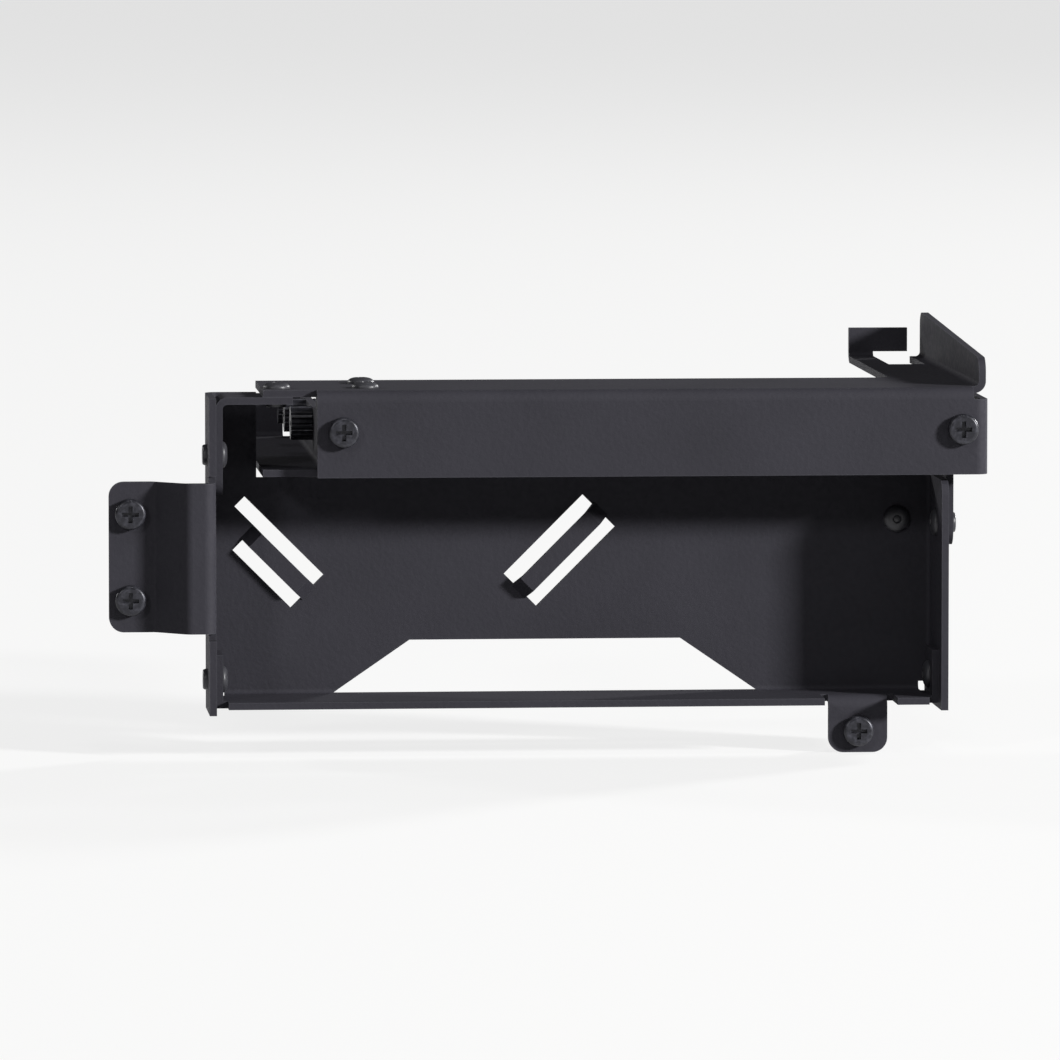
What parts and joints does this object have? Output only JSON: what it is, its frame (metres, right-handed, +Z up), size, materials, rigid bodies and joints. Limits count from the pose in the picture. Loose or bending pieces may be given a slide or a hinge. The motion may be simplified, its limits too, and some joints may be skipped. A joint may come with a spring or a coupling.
{
  "type": "vertical gpu bracket",
  "caption": "Folded sheet-steel bracket that holds a graphics card upright, with a screw ledge, a slot tray, an offset mounting ear and a foot tab.",
  "frame": {"origin": "on the back of the mounting ear, halfway between its two screws", "axes": "+X along the pan towards the foot, +Y backwards into the wall that the ear is screwed to, +Z up"},
  "size_m": [0.1484, 0.0906, 0.0701],
  "materials": {
    "powder_coated_steel": "satin",
    "black_screw_steel": "satin",
    "black_rivet": "satin"
  },
  "bodies": {
    "root": {"base_panel": "powder_coated_steel", "slot_tray": "powder_coated_steel", "screw_ledge": "powder_coated_steel", "tray_support_left": "powder_coated_steel", "tray_support_right": "powder_coated_steel", "bar_screw_left": "black_screw_steel", "bar_screw_right": "black_screw_steel", "ear_screw_upper": "black_screw_steel", "ear_screw_lower": "black_screw_steel", "foot_screw": "black_screw_steel", "slot_thumbscrew_1": "black_screw_steel", "slot_thumbscrew_2": "black_screw_steel", "slot_thumbscrew_3": "black_screw_steel", "corner_rivet_left": "black_rivet", "corner_rivet_right": "black_rivet", "support_rivet_left": "black_rivet", "support_rivet_right": "black_rivet", "panel_rivet": "black_rivet", "tray_rivet_left": "black_rivet", "ledge_rivet_front": "black_rivet", "ledge_rivet_rear": "black_rivet"}
  },
  "joints": []
}
